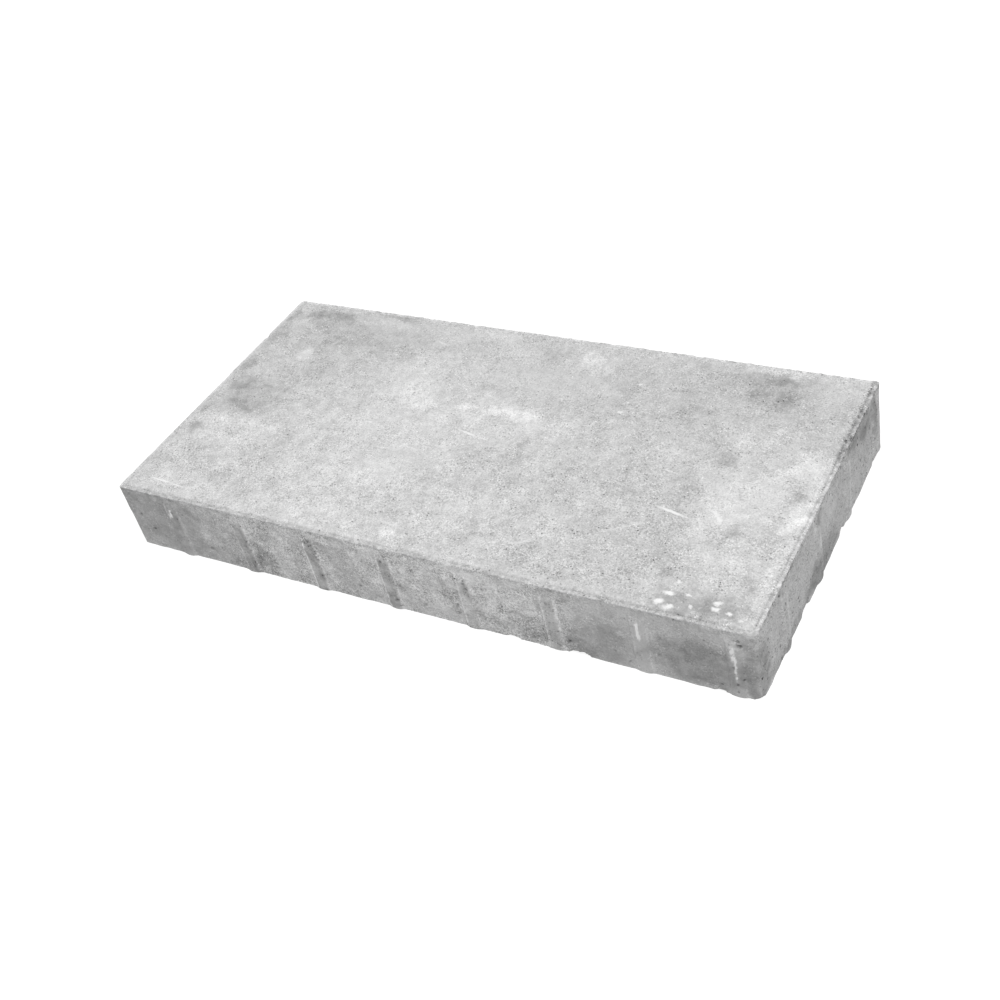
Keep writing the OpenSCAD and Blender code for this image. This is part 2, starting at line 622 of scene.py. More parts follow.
# The camera, in millimetres and degrees
CAMERA_PLACE = (570.9, -741.6, 780.9)
CAMERA_AIM = (30.2, -5.0, 35.0)
CAMERA_ROLL = 13.82
CAMERA_LENS = 49.19
CAMERA_SHIFT = (-0.020, -0.025)


def smoothstep(low, high, value):
    """Rises smoothly from 0 at low to 1 at high."""
    t = np.clip((value - low) / (high - low), 0.0, 1.0)
    return t * t * (3.0 - 2.0 * t)


def fade(start, end, value):
    """Falls smoothly from 1 at start to 0 at end."""
    return 1.0 - smoothstep(start, end, value)


def band(rise, fall, value):
    """Rises smoothly from 0 to 1 over one range and falls back to 0 over another."""
    return smoothstep(*rise, value) * fade(*fall, value)


def bell(middle, width, value):
    """1 in the middle, falling off smoothly on both sides of it."""
    return np.exp(-(((value - middle) / width) ** 2))


def dome(away):
    """1 at a distance of 0, falling like a round cap to 0 at a distance of 1."""
    return np.clip(1.0 - away**2, 0.0, 1.0)


def lumps(points, name, more=0):
    """One of the named noises at each point, with more added to its seed."""
    strength, size, octaves, seed = NOISE[name]
    shift = NOISE_SHIFT * (seed + more + 1)
    places = (Vector(point) / size + shift for point in points)
    return strength * np.array([noise.fractal(at, *NOISE_OCTAVES, octaves) for at in places])


def uneven(points, name, low, high, middle=1.0):
    """A factor that varies round its middle with one of the named noises, between low and high."""
    return np.clip(middle + lumps(points, name), low, high)


# The outline: columns of points round the stone

def nib_places(half):
    """Places of the nibs along a side, seen from outside, a quarter pitch right of its middle."""
    count = round((2 * half + JOINT) / NIB_PITCH)
    return [(i - (count - 1) / 2) * NIB_PITCH + NIB_PITCH / 4 for i in range(count)]


def stations(half):
    """Places of the columns along a straight side, closer together at its nibs."""
    end = half - CORNER_RADIUS
    nibs = nib_places(half)
    places = [-end]
    while places[-1] < end:
        near = min(abs(places[-1] - nib) for nib in nibs) < NIB_ZONE
        places.append(places[-1] + (NIB_STEP if near else SIDE_STEP))
    places = np.array(places)
    return (places + end) * (2 * end / (places[-1] + end)) - end


def side_columns(half, depth):
    """Columns of a side, turned to the front, and of the corner at its right end.

    Each holds its place, its outward normal and its place along the side.
    """
    columns = [((u, -depth), (0.0, -1.0), u) for u in stations(half)]
    centre = (half - CORNER_RADIUS, CORNER_RADIUS - depth)
    for i in range(CORNER_POINTS):
        angle = math.radians(-90 + 90 * (i + 1) / (CORNER_POINTS + 1))
        normal = (math.cos(angle), math.sin(angle))
        place = tuple(c + CORNER_RADIUS * n for c, n in zip(centre, normal))
        columns.append((place, normal, place[0]))
    return columns


def outline_columns():
    """Columns round the stone, counter-clockwise: place, outward normal, side, place along it."""
    columns = []
    for side in range(4):
        turn = Matrix.Rotation(math.radians(90 * side), 2)
        for place, normal, u in side_columns(SIDE_HALF[side], SIDE_HALF[side - 1]):
            columns.append((*(turn @ Vector(place)), *(turn @ Vector(normal)), side, u))
    return np.array(columns)


# The section: rows of points from the bed up to the walking face

def side_heights():
    """Heights of the rows on the sides, closer together at the bed, the nib ramps and the top."""
    heights = [0.0]
    while heights[-1] < RIM_HEIGHT - ROWS_UNTIL:
        z = heights[-1]
        to_edge = min(z, RIM_HEIGHT - z)
        to_ramp = max(RAMP_FOOT - z, z - NIB_TOP, 0.0)
        at_edge = EDGE_ROW + EDGE_GROWTH * to_edge
        at_ramp = RAMP_ROW + RAMP_GROWTH * to_ramp
        heights.append(z + min(at_edge, at_ramp, MOST_ROW))
    heights[-1] = RIM_HEIGHT - LAST_ROW
    return heights


def section_rows():
    """Rows as inset from the side, height, and rise of the surface normal: 0 out, 1 up."""
    rows = [(0.0, z, 0.0) for z in side_heights()]
    rows += [(inset, RIM_HEIGHT - depth, rise) for inset, depth, rise in ARRIS_ROWS]
    rows += [(inset, RIM_HEIGHT, 1.0) for inset in RIM_INSETS]
    for share in BEVEL_SHARES:
        rows.append((RIM_WIDTH + BEVEL_WIDTH * share, RIM_HEIGHT + BEVEL_HEIGHT * share, BEVEL_RISE))
    rows += [(EDGE_WIDTH + inset, THICKNESS, 1.0) for inset in TOP_INSETS]
    return np.array(rows)


# The forms of the sides and the edge

class Skin:
    """The points of the sides, the rim and the bevel before wear, and what is known of each."""

    def __init__(self, columns, rows):
        self.count = len(columns)
        x, y, nx, ny, side, u = (column[None, :] for column in columns.T)
        inset, z, rise = (row[:, None] for row in rows.T)
        shrink_x = (HALF_LENGTH - inset) / HALF_LENGTH
        shrink_y = (HALF_WIDTH - inset) / HALF_WIDTH
        flat = np.ones((len(rows), len(columns)))
        self.base = np.stack([x * shrink_x, y * shrink_y, z * flat], -1).reshape(-1, 3)
        level = np.sqrt(1.0 - rise**2)
        self.normal = np.stack([nx * level, ny * level, rise * flat], -1).reshape(-1, 3)
        self.u, self.z, self.inset, self.side = ((part * flat).ravel() for part in (u, z, inset, side))
        self.side = self.side.astype(int)
        self.on_side = self.inset == 0.0

    def by_side(self, values):
        """Of four values, the one for the side that each point is on."""
        return np.array(values)[self.side]

    def drawn_out(self, share):
        """The points with their heights times this share, so that noise is drawn out upright."""
        return self.base * (1.0, 1.0, share)

    def from_corner(self, sign_x, sign_y):
        """Level distance of each point from an upright corner of the stone."""
        return np.hypot(self.base[:, 0] - sign_x * HALF_LENGTH, self.base[:, 1] - sign_y * HALF_WIDTH)


def nib_relief(half, u, z):
    """How far the nibs stand out at each place along a side: soft edges and worn, rounded feet."""
    relief = np.zeros(len(u))
    ramp = (WORN_TOP - z) / WORN_RAMP
    low = np.exp(-z / FOOT_HEIGHT)
    for nib in nib_places(half):
        away = abs(u - nib)
        flank = (JOINT + NIB_CREST / 2 - away) / JOINT
        plain = smoothstep(0.0, 1.0, np.minimum(flank, ramp))
        worn = dome(away / FOOT_HALF)
        relief = np.maximum(relief, JOINT * (plain + low * (worn - plain)))
    return relief


def chip_depth(skin, along, height, depth):
    """Depth of a wedge that is broken out at the bottom; along is 1 in its middle and 0 at its ends."""
    edge = np.maximum(height * np.sqrt(along), LEAST_CHIP)
    return depth * along * np.clip(1.0 - skin.z / edge, 0.0, 1.0)


def chip_move(skin):
    """How the broken places along the bottom edge and at its corners move the points inwards."""
    ragged = 1.0 + lumps(skin.base, "chip_edge")
    move = np.zeros((len(skin.base), 3))
    for side, place, half, height, depth in CHIPS:
        along = np.where(skin.side == side, dome((skin.u - place) / half), 0.0)
        turn = math.radians(90 * side)
        inward = np.array([-math.sin(turn), math.cos(turn), 0.0])
        move += chip_depth(skin, along, height * ragged, depth)[:, None] * inward
    for sign_x, sign_y, reach, height, depth in CORNER_CHIPS:
        along = dome(skin.from_corner(sign_x, sign_y) / reach)
        inward = np.array([-sign_x, -sign_y, 0.0]) * math.sqrt(0.5)
        move += chip_depth(skin, along, height * ragged, depth)[:, None] * inward
    return move


def corner_wear(skin):
    """How the four upright corners are rounded off by wear, more in some places than in others."""
    amount = uneven(skin.base, "corner_wear", low=0.1, high=2.0)
    amount = amount * (1.0 - CORNER_EASE * smoothstep(*CORNER_TOP, skin.z))
    move = np.zeros((len(skin.base), 3))
    for sign_x, sign_y, worn in CORNER_WEAR:
        near = np.clip(1.0 - skin.from_corner(sign_x, sign_y) / CORNER_REACH, 0.0, 1.0)
        inset = worn * amount * near**2
        move += inset[:, None] * np.array([-sign_x, -sign_y, 0.0])
    return move


def pore_mask(skin):
    """How deep each point lies in an open pore, and where the pores are, from 0 to 1."""
    depth_at = np.zeros(len(skin.base))
    mask = np.zeros(len(skin.base))
    for side, pores in enumerate(SIDE_PORES):
        here = (skin.side == side) & skin.on_side
        for place, height, radius, depth in pores:
            away = np.hypot(skin.u - place, skin.z - height) / radius
            inside = here * fade(*FADES["pore"], away)
            depth_at = np.maximum(depth_at, depth * inside)
            mask = np.maximum(mask, inside)
    return depth_at, mask


def coarse_share(skin):
    """Share of coarse surface on the sides: the front is smooth at its ends and coarse between."""
    front = band(COARSE_START, COARSE_END, skin.u)
    for place, height, half_u, half_z, share in FRONT_SMOOTH:
        away = np.hypot((skin.u - place) / half_u, (skin.z - height) / half_z)
        front = front * (1.0 - share * fade(*FADES["smooth"], away))
    others = COARSE_OTHERS + lumps(skin.base, "coarse_share")
    return np.clip(np.where(skin.side == FRONT, COARSE_MOST * front, others), 0.0, COARSE_MOST)


def side_shape(skin):
    """How far each side point stands out from the plain side: nibs, waves, lumps, flash and pores."""
    nibs = [nib_relief(half, skin.u, skin.z) for half in (HALF_LENGTH, HALF_WIDTH)]
    out = np.where(skin.by_side(SIDE_HALF) == HALF_LENGTH, *nibs)
    out *= uneven(skin.drawn_out(share=0.5), "nib_fill", low=0.45, high=1.0, middle=0.8)
    out += lumps(skin.base, "side_waves")
    out += coarse_share(skin) * (lumps(skin.base, "coarse_lumps") + lumps(skin.base, "coarse_grit"))
    # Flash that squeezed out under the mould
    flash = uneven(skin.drawn_out(share=0.3), "flash", low=0.02, high=0.8, middle=0.2)
    out += flash * np.exp(-skin.z / FLASH_REACH)
    depth, _ = pore_mask(skin)
    return out - depth


def edge_chips(skin):
    """Depth of the pieces that are broken out of the arris, in millimetres."""
    depth_at = np.zeros(len(skin.base))
    for side, place, half, depth in EDGE_CHIPS:
        depth_at += np.where(skin.side == side, depth * dome((skin.u - place) / half), 0.0)
    return depth_at


def arris_wear(skin, ragged):
    """How far the arris is worn back: ragged all along, with crumbs and pieces broken out."""
    near = np.exp(-np.maximum(RIM_HEIGHT - skin.z, 0.0) / ARRIS_REACH)
    near = near * np.clip(1.0 - skin.inset / RIM_WIDTH, 0.0, 1.0)
    crumbs = smoothstep(*ARRIS_CRUMBS, lumps(skin.base, "arris_crumbs"))
    worn = skin.by_side(EDGE_ROUGH) * ragged + CRUMB_DEPTH * crumbs - ARRIS_FULL + edge_chips(skin)
    return near * worn


def shape_skin(skin):
    """Points of the sides, the rim, the bevel and the edge of the walking face, in millimetres."""
    ragged = lumps(skin.base, "arris")
    worn = arris_wear(skin, ragged)
    out = np.where(skin.on_side, side_shape(skin), RIM_ROUGH * ragged)
    points = skin.base + skin.normal * out[:, None]
    outward = skin.normal * (1.0, 1.0, 0.0)
    points -= outward * worn[:, None]
    points += chip_move(skin) * skin.on_side[:, None]
    points += corner_wear(skin)
    points[:, 2] -= ARRIS_SINK * worn * (skin.z > RIM_HEIGHT - ARRIS_ZONE)
    points[:, 2] = np.maximum(points[:, 2], 0.0)
    return points


# The two flat faces

def grid_points(margin, step, height):
    """A plain grid of points inside the outline."""
    length, width = HALF_LENGTH - margin, HALF_WIDTH - margin
    xs = np.linspace(-length, length, round(2 * length / step) + 1)
    ys = np.linspace(-width, width, round(2 * width / step) + 1)
    x, y = np.meshgrid(xs, ys)
    return np.stack([x.ravel(), y.ravel(), np.full(x.size, height)], -1)


def fill_faces(points, ring, inner):
    """Triangles that join a ring of points to the points inside it, facing up."""
    index = list(ring) + list(inner)
    flat = [Vector(points[i][:2]) for i in index]
    loop = list(range(len(ring)))
    _, _, faces, origin, _, _ = delaunay_2d_cdt(flat, [], [loop], 1, MERGE)
    return [[index[origin[corner][0]] for corner in face] for face in faces]


class Stone:
    """All points of the stone, in millimetres: the shell round it, its walking face and its bed."""

    def __init__(self):
        self.skin = Skin(outline_columns(), section_rows())
        shell = shape_skin(self.skin)
        top = grid_points(TOP_MARGIN, TOP_STEP, THICKNESS)
        bed = grid_points(BED_MARGIN, BED_STEP, 0.0)
        self.points = np.concatenate([shell, top, bed])
        self.shell = range(len(shell))
        self.top = range(len(shell), len(shell) + len(top))
        self.bed = range(len(shell) + len(top), len(self.points))
        self.bed_ring = self.shell[:self.skin.count]
        self.top_ring = self.shell[-self.skin.count:]
        # The walking face with the bevel round it
        self.walking = np.concatenate([np.flatnonzero(self.skin.inset > RIM_WIDTH), self.top])
        self.add_waves()

    def add_waves(self):
        """Adds the slight waves that the press leaves in the walking face."""
        face = [*self.top_ring, *self.top]
        waves = lumps(self.points[face], "top_waves") + lumps(self.points[face], "top_ripples")
        self.points[face, 2] = THICKNESS + waves

    def faces(self):
        """Faces with four corners between the rows of the shell, and triangles on the flat faces."""
        count = self.skin.count
        faces = []
        for low in self.shell[:-count:count]:
            high = low + count
            for column in range(count):
                after = (column + 1) % count
                faces.append((low + column, low + after, high + after, high + column))
        faces += fill_faces(self.points, self.top_ring, self.top)
        bed_faces = fill_faces(self.points, self.bed_ring, self.bed)
        return faces + [face[::-1] for face in bed_faces]


# Tones: how much lighter or darker the concrete is at each point

def patch_tone(points, patches, kind):
    """Tone of a list of patches on the walking face, with outlines that are warped by noise."""
    x_at = points[:, 0] + lumps(points, kind)
    y_at = points[:, 1] + lumps(points, kind, more=1)
    tone = np.zeros(len(points))
    for x, y, half_x, half_y, turn, strength in patches:
        dx, dy = x_at - x, y_at - y
        c, s = math.cos(math.radians(turn)), math.sin(math.radians(turn))
        away = np.hypot((c * dx + s * dy) / half_x, (c * dy - s * dx) / half_y)
        tone += strength * fade(*FADES[kind], away)
    return tone


def side_stains(skin):
    """Stains and pale bloom on the sides."""
    u_at = skin.u + lumps(skin.base, "side_stain")
    z_at = skin.z + lumps(skin.base, "side_stain", more=1)
    broken = uneven(skin.base, "side_stain_breaks", low=0.3, high=1.5)
    stains = np.zeros(len(skin.base))
    for side, patches in enumerate(SIDE_PATCHES):
        for place, height, half_u, half_z, strength in patches:
            away = np.hypot((u_at - place) / half_u, (z_at - height) / half_z)
            here = fade(*FADES["side_stain"], away) * broken
            stains += np.where(skin.side == side, strength * here, 0.0)
    hidden = (skin.side == BACK) | (skin.side == LEFT)
    return stains + np.where(hidden, lumps(skin.base, "hidden_stains"), 0.0)


def scuff_tone(skin):
    """Pale rubbed streaks on some nibs, broken up by the grain."""
    ragged = lumps(skin.base, "scuff_edge")
    broken = uneven(skin.base, "scuff_breaks", low=0.1, high=1.4, middle=0.7)
    tone = np.zeros(len(skin.base))
    for place, low, high, half in SCUFFS:
        wide = fade(*FADES["scuff"], abs(skin.u - place + ragged) / half)
        tall = band((low - SCUFF_LOW, low + SCUFF_LOW), (high - SCUFF_HIGH, high + SCUFF_HIGH), skin.z)
        tone = np.maximum(tone, SCUFF_TONE * wide * tall * broken)
    return np.where(skin.side == FRONT, tone, 0.0)


def side_tone(skin):
    """Mottled tone of the coarse parts of the sides, scuffs, and painted shade in the pores."""
    mottle = lumps(skin.base, "coarse_mottle") + lumps(skin.base, "coarse_clouds")
    return coarse_share(skin) * mottle + scuff_tone(skin) + PORE_PAINTED_SHADE * pore_mask(skin)[1]


def each_nib(skin):
    """For each nib: its marks, the points of its side, and their distance to the right of it."""
    ragged = NIB_RAGGED * lumps(skin.base, "nib_edge")
    for side in range(4):
        here = (skin.side == side) & skin.on_side
        for nib, marks in zip(nib_places(SIDE_HALF[side]), NIB_MARKS[side]):
            yield marks, here, skin.u - nib + ragged


def below_ramps(skin):
    """1 below the ramps of the nibs and 0 above them, with a ragged line between."""
    return fade(*MARKS_END, skin.z + lumps(skin.base, "nib_edge"))


def nib_tone(skin):
    """Tone of the nibs: their crests, pale and dark lines along them that are painted light and shade on
    their flanks, partly worn, and painted shade on their ramps.
    """
    streaky = uneven(skin.drawn_out(share=0.3), "nib_streaks", low=0.5, high=1.5)
    blotchy = uneven(skin.base, "nib_blotches", low=0.2, high=1.8)
    below = below_ramps(skin)
    on_ramp = band(RAMP_START, RAMP_END, skin.z)
    tone = np.zeros(len(skin.base))
    for (worn_and_lit_flank_line, crest, painted_flank_light, right), here, away in each_nib(skin):
        lines = zip((worn_and_lit_flank_line, painted_flank_light, right), NIB_LINES)
        tone += here * below * streaky * sum(part * bell(*line, away) for part, line in lines)
        on_crest = band(CREST_START, CREST_END, away) * here
        # Crests get their own tone, and their ramps a painted shade
        tone += on_crest * (crest * below * blotchy + RAMP_PAINTED_SHADE * on_ramp)
    return tone


def crest_mask(skin):
    """Where the crests of the nibs are, from 0 to 1."""
    crests = sum(band(CREST_START, CREST_END, away) * here for _, here, away in each_nib(skin))
    return crests * below_ramps(skin)


def edge_base(skin, mottle):
    """Tones of the rim, the groove and the bevel, partly painted light and shade, with the dirt on them.
    """
    rim, groove, bevel = skin.by_side(EDGE_TONES).T
    for side, place, half, on_rim, inside in EDGE_STAINS:
        along = fade(*FADES["edge_stain"], abs(skin.u + EDGE_STAIN_WARP * mottle - place) / half)
        along = along * (skin.side == side)
        rim = rim + on_rim * along
        groove = groove + inside * along
        bevel = bevel + BEVEL_DIRT * inside * along
    return rim, groove, bevel


def edge_tone(skin):
    """The pressed edge: its rim, the groove inside it, dark with dirt and painted shade, the bevel,
    darker crumbs below the rim, and a painted shadow just below the rim.
    """
    mottle = lumps(skin.base, "edge_mottle")
    fine = lumps(skin.base, "edge_grain")
    crumbs = smoothstep(*TONE_CRUMBS, lumps(skin.base, "edge_crumbs"))
    rough = skin.by_side(EDGE_ROUGH)
    inset = skin.inset + rough * (0.5 * mottle + 0.5 * fine)
    on_rim = fade(*RIM_END, inset) * smoothstep(*RIM_START, skin.z)
    in_groove = bell(*GROOVE, inset)
    on_bevel = band(BEVEL_START, BEVEL_END, inset)
    painted_shadow_below_rim = bell(*BELOW_RIM, skin.z) * skin.on_side
    crumbly = bell(*CRUMB_ZONE, skin.z) * skin.on_side

    rim, groove, bevel = edge_base(skin, mottle)
    tone = (rim + rough * (0.25 * mottle + 0.36 * fine - 0.3 * crumbs)) * on_rim
    tone += (bevel - 0.15 * mottle) * on_bevel
    tone += (groove + rough * (0.2 * fine - 0.15 * abs(mottle))) * in_groove
    tone -= skin.by_side(CRUMB_DARKENING) * crumbs * crumbly
    # A painted shadow just below the rim, as under an overhang
    return tone - (0.03 + 0.3 * mottle + 0.25 * fine) * painted_shadow_below_rim


# What the mesh stores for the concrete at each point

def tone_at(stone):
    """How much lighter or darker the concrete is, apart from its stains."""
    skin, points = stone.skin, stone.points
    tone = np.zeros(len(points))
    on_side = np.where(skin.on_side, side_tone(skin), 0.0)
    tone[stone.shell] = on_side + nib_tone(skin) + edge_tone(skin)
    tone[stone.walking] += patch_tone(points[stone.walking], TOP_CLOUDS, "cloud")
    tone[stone.bed] = lumps(points[stone.bed], "bed_tone")
    return tone


def stain_at(stone):
    """How pale (+) or dark (-) the stains are."""
    skin, face = stone.skin, stone.points[stone.walking]
    stain = np.zeros(len(stone.points))
    stain[stone.shell] = np.where(skin.on_side, side_stains(skin), 0.0)
    broken = uneven(face, "stain_breaks", low=0.3, high=1.5)
    stain[stone.walking] += patch_tone(face, TOP_STAINS, "stain") * broken
    return stain


def side_grain(skin):
    """How strong the grain is on the sides: more on coarse parts, and less on the nibs."""
    patchy = uneven(skin.base, "grain_patches", low=0.35, high=1.6)
    grain = skin.by_side(SIDE_GRAIN) + COARSE_GRAIN * coarse_share(skin) * patchy
    grain = grain * (1.0 - skin.by_side(CREST_SMOOTH) * crest_mask(skin))
    # Below a ragged arris the grain is coarser
    near_arris = bell(*NEAR_ARRIS, skin.z)
    return grain + ARRIS_GRAIN * (skin.by_side(EDGE_ROUGH) - min(EDGE_ROUGH)) * near_arris


def contrast_at(stone):
    """How strong the grain is."""
    skin, face = stone.skin, stone.points[stone.top]
    contrast = np.full(len(stone.points), BED_GRAIN)
    on_edge = EDGE_GRAIN + ROUGH_GRAIN * skin.by_side(EDGE_ROUGH)
    contrast[stone.shell] = np.where(skin.on_side, side_grain(skin), on_edge)
    # The walking face is worn a little smoother towards its back
    contrast[stone.top] = TOP_GRAIN - TOP_WEAR * face[:, 1] + patch_tone(face, TOP_SMOOTH, "smooth")
    return contrast


def pitted_at(stone):
    """How dark the fine pits are."""
    skin = stone.skin
    pitted = np.full(len(stone.points), PITTED_FACES)
    pitted[stone.shell] = np.where(skin.on_side, skin.by_side(PITTED), PITTED_FACES)
    return pitted


STORED = {"tone": tone_at, "stain": stain_at, "contrast": contrast_at, "pitted": pitted_at}


def build_stone():
    """The stone as one closed mesh that stores its tone, stains, grain and pits at each point."""
    stone = Stone()
    mesh = bpy.data.meshes.new("cast_stone")
    mesh.from_pydata((stone.points * MM).tolist(), [], stone.faces())
    for name, find in STORED.items():
        values = find(stone).astype(np.float32)
        mesh.attributes.new(name, "FLOAT", "POINT").data.foreach_set("value", values)
    mesh.shade_smooth()
    mesh.set_sharp_from_angle(angle=math.radians(SHARP_ANGLE))
    return add_object("cast_stone", mesh)


# The concrete

class Graph:
    """Short calls for the nodes of a material or of the world."""

    def __init__(self, owner):
        owner.use_nodes = True
        self.tree = owner.node_tree

    def node(self, kind, inputs=None, **settings):
        """A node with its settings, and its inputs linked or set."""
        made = self.tree.nodes.new("ShaderNode" + kind)
        for key, value in settings.items():
            setattr(made, key, value)
        for key, value in (inputs or {}).items():
            self.feed(made.inputs[key], value)
        return made

    def feed(self, socket, value):
        """Links a socket to another, or sets its value."""
        if isinstance(value, bpy.types.NodeSocket):
            self.tree.links.new(value, socket)
        else:
            socket.default_value = value

    def math(self, operation, a, b, clamp=False):
        """An operation on two values, each a socket or a number."""
        return self.node("Math", {0: a, 1: b}, operation=operation, use_clamp=clamp).outputs[0]

    def vector(self, operation, a, b):
        """The same on two vectors."""
        return self.node("VectorMath", {0: a, 1: b}, operation=operation).outputs[0]

    def noise(self, at, scale, detail, roughness):
        """Noise from 0 to 1, with 0.5 as its middle."""
        inputs = {"Vector": at, "Scale": scale, "Detail": detail, "Roughness": roughness}
        return self.node("TexNoise", inputs).outputs["Fac"]

    def step(self, value, low, high, out_low=0.0, out_high=1.0):
        """Smooth change from out_low at low to out_high at high."""
        inputs = {"Value": value, "From Min": low, "From Max": high}
        inputs |= {"To Min": out_low, "To Max": out_high}
        return self.node("MapRange", inputs, interpolation_type="SMOOTHSTEP").outputs[0]

    def attribute(self, name):
        """A value that the mesh stores at each point."""
        return self.node("Attribute", attribute_name=name).outputs["Fac"]

    def distance(self, at, place, turn, sizes):
        """Distance from a place on the stone, counted in the half sizes of a turned ellipse."""
        inputs = {"Vector": at, "Location": place, "Rotation": (0, 0, turn), "Scale": sizes}
        local = self.node("Mapping", inputs, vector_type="TEXTURE").outputs[0]
        return self.node("VectorMath", {0: local}, operation="LENGTH").outputs["Value"]

    def weighted_sum(self, start, terms):
        """Adds up sockets, each given with its middle value and its share."""
        total = start
        for source, middle, share in terms:
            centred = self.math("SUBTRACT", source, middle)
            total = self.math("ADD", total, self.math("MULTIPLY", centred, share))
        return total


def shaken(graph, at, scale, amount):
    """The place on the stone, shifted by noise of this amount, so that outlines become ragged."""
    wobble = graph.node("TexNoise", {"Vector": at, "Scale": scale, "Detail": 3.0}).outputs["Color"]
    wobble = graph.vector("SUBTRACT", wobble, (0.5, 0.5, 0.5))
    offset = graph.vector("MULTIPLY", wobble, (amount, amount, amount))
    return graph.vector("ADD", at, offset)


def lime_marks(graph, at):
    """Mask of the lime spots and the scratches, with ragged outlines."""
    mask = 0.0
    for marks, shake in ((LIME_SPOTS, SPOT_SHAKE), (SCRATCHES, SCRATCH_SHAKE)):
        shaky = shaken(graph, at, LIME_SHAKE_SCALE, shake * MM)
        for x, y, half_long, half_wide, turn, strength in marks:
            sizes = (half_long * MM, half_wide * MM, LIME_REACH * MM)
            place = (x * MM, y * MM, THICKNESS * MM)
            away = graph.distance(shaky, place, math.radians(turn), sizes)
            mask = graph.math("MAXIMUM", mask, graph.step(away, *LIME_FADE, 0.0, strength))
    return mask


def specks(graph, at, scale, radius, share):
    """Masks of the pale and the dark specks: each kind is in this share of the cells of a pattern."""
    cells = graph.node("TexVoronoi", {"Vector": at, "Scale": scale}).outputs
    dot = graph.step(cells["Distance"], radius, SPECK_CORE * radius)
    lots = graph.node("SeparateColor", {"Color": cells["Color"]}).outputs
    chosen = [graph.math("GREATER_THAN", lots[i], 1.0 - share) for i in (0, 1)]
    return [graph.math("MULTIPLY", dot, kind) for kind in chosen]


def islands(graph, at, stain, sign):
    """Mask of the stains that are pale (+) or dark (-): a weak one breaks up into ragged islands."""
    place = graph.vector("ADD", at, (sign, 0.0, 0.0))
    ragged = graph.math("SUBTRACT", graph.noise(place, scale=130.0, detail=5.0, roughness=0.65), 0.5)
    ragged = graph.math("MULTIPLY", ragged, STAIN_RAGGED)
    cover = graph.math("MULTIPLY", stain, sign * STAIN_COVER)
    return graph.step(graph.math("ADD", cover, ragged), *STAIN_STEP)


def sand_grain(graph, at, specked, dirt):
    """The grain: grains of sand, flecks and specks, in patches, and weaker under dirt."""
    pale_specks, dark_specks = specked
    cells = graph.node("TexVoronoi", {"Vector": at, "Scale": SAND_SCALE}).outputs["Color"]
    sand = graph.node("SeparateColor", {"Color": cells}).outputs[0]
    flecks = graph.noise(at, scale=380.0, detail=4.0, roughness=0.7)
    dark, pale = graph.step(flecks, *DARK_FLECKS), graph.step(flecks, *PALE_FLECKS)
    grain = graph.weighted_sum(0.0, (
        (sand, 0.5, 0.42),
        (dark, 0.0, -0.25),
        (pale, 0.0, 0.20),
        (dark_specks, 0.0, -0.42),
        (pale_specks, 0.0, 0.54),
    ))
    patches = graph.noise(at, scale=60.0, detail=2.0, roughness=0.5)
    patchy = graph.step(patches, *GRAIN_PATCHES)
    filled = graph.step(dirt, 0.0, 1.0, 1.0, DIRTY_GRAIN)
    return graph.math("MULTIPLY", grain, graph.math("MULTIPLY", patchy, filled))


def concrete():
    """Grey pressed concrete: clouds, grain, specks and pits, over the tones stored in the mesh."""
    material = bpy.data.materials.new("concrete")
    graph = Graph(material)
    at = graph.node("TexCoord").outputs["Object"]
    tone, stain, contrast, pitted = (graph.attribute(name) for name in STORED)
    clouds = graph.noise(at, scale=28.0, detail=4.0, roughness=0.55)
    mottle = graph.noise(at, scale=110.0, detail=3.0, roughness=0.6)
    specked = specks(graph, at, scale=420.0, radius=0.36, share=0.22)
    shaky = shaken(graph, at, PIT_SHAKE_SCALE, PIT_SHAKE * MM)
    pits = specks(graph, shaky, scale=140.0, radius=0.22, share=0.24)
    pits, fine_pits = (graph.math("MULTIPLY", dark, pitted) for _, dark in (pits, specked))
    bloom, dirt = (islands(graph, at, stain, sign) for sign in (1.0, -1.0))

    pattern = graph.weighted_sum(sand_grain(graph, at, specked, dirt), (
        (clouds, 0.5, 0.46),
        (mottle, 0.5, 0.47),
    ))
    pattern = graph.math("MULTIPLY", pattern, contrast)
    value = graph.weighted_sum(graph.math("ADD", pattern, 1.0), (
        (tone, 0.0, 1.0),
        (stain, 0.0, 0.68),
        (bloom, 0.0, 0.12),
        (dirt, 0.0, -0.12),
        (pits, 0.0, -0.42),
        (fine_pits, 0.0, -0.20),
    ))
    value = graph.math("MULTIPLY", value, ALBEDO, clamp=True)
    inputs = {"Factor": lime_marks(graph, at), "A": value, "B": LIME}
    value = graph.node("Mix", inputs, data_type="FLOAT").outputs[0]
    depth = graph.weighted_sum(pattern, ((mottle, 0.5, 1.0), (pits, 0.0, -1.0)))
    bump = graph.node("Bump", {"Strength": BUMP_STRENGTH, "Distance": BUMP_HEIGHT * MM, "Height": depth})

    sockets = graph.tree.nodes["Principled BSDF"].inputs
    graph.feed(sockets["Base Color"], value)
    graph.feed(sockets["Normal"], bump.outputs[0])
    sockets["Roughness"].default_value = ROUGHNESS
    sockets["Specular IOR Level"].default_value = SPECULAR
    return material


# The studio

def add_object(name, data):
    """A new object in the scene."""
    made = bpy.data.objects.new(name, data)
    bpy.context.scene.collection.objects.link(made)
    return made


def backdrop_rays(graph):
    """1 for rays from the camera and for mirrored or refracted ones, so that they see the backdrop."""
    path = graph.node("LightPath").outputs
    rays = path["Is Camera Ray"]
    for kind in ("Is Glossy Ray", "Is Transmission Ray"):
        rays = graph.math("MAXIMUM", rays, path[kind])
    return rays


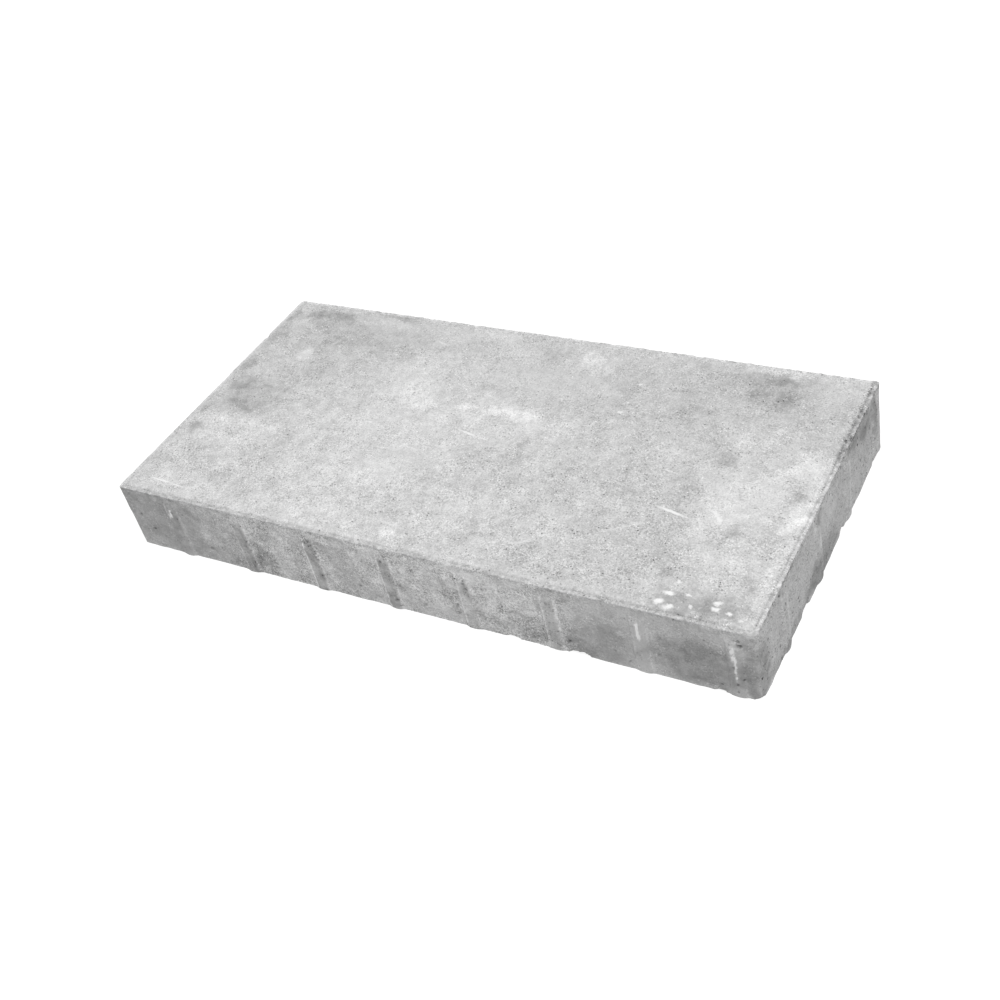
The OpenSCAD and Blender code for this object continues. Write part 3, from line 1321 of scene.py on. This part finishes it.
def make_floor():
    """A pale floor that looks white away from the stone and takes its shadow."""
    signs = ((-1, -1), (1, -1), (1, 1), (-1, 1))
    mesh = bpy.data.meshes.new("floor")
    mesh.from_pydata([(x * FLOOR_HALF, y * FLOOR_HALF, 0) for x, y in signs], [], [(0, 1, 2, 3)])
    material = bpy.data.materials.new("studio_floor")
    graph = Graph(material)
    sockets = graph.tree.nodes["Principled BSDF"].inputs
    sockets["Base Color"].default_value = FLOOR_COLOUR
    sockets["Roughness"].default_value = 1.0
    sockets["Specular IOR Level"].default_value = 0.0
    sockets["Emission Color"].default_value = WHITE
    glow = graph.math("MULTIPLY", backdrop_rays(graph), FLOOR_GLOW)
    graph.feed(sockets["Emission Strength"], glow)
    mesh.materials.append(material)
    add_object("floor", mesh)


def make_lamp():
    """A wide soft lamp overhead, aimed at the stone."""
    lamp = bpy.data.lights.new("overhead", "AREA")
    lamp.shape = "DISK"
    lamp.size = LAMP_SIZE
    lamp.energy = LAMP_POWER
    holder = add_object("overhead", lamp)
    holder.location = LAMP_PLACE
    holder.rotation_mode = "QUATERNION"
    holder.rotation_quaternion = (-holder.location).to_track_quat("-Z", "Y")


def make_sky():
    """An even sky, which looks white."""
    world = bpy.data.worlds.new("studio")
    graph = Graph(world)
    sockets = graph.tree.nodes["Background"].inputs
    sockets["Color"].default_value = WHITE
    inputs = {"Value": backdrop_rays(graph), "To Min": SKY_STRENGTH, "To Max": 1.0}
    graph.feed(sockets["Strength"], graph.node("MapRange", inputs).outputs[0])
    bpy.context.scene.world = world


def make_camera():
    """The camera at the photograph's viewing angle."""
    lens = bpy.data.cameras.new("camera")
    lens.lens = CAMERA_LENS
    lens.shift_x, lens.shift_y = CAMERA_SHIFT
    camera = add_object("camera", lens)
    place, aim = Vector(CAMERA_PLACE) * MM, Vector(CAMERA_AIM) * MM
    facing = (aim - place).to_track_quat("-Z", "Y").to_matrix().to_4x4()
    roll = Matrix.Rotation(math.radians(-CAMERA_ROLL), 4, "Z")
    camera.matrix_world = Matrix.Translation(place) @ facing @ roll
    bpy.context.scene.camera = camera


make_camera()
make_floor()
make_lamp()
make_sky()
bpy.context.scene.view_settings.view_transform = "Standard"

stone = build_stone()
stone.data.materials.append(concrete())
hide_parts(NODE)
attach(stone, "root")
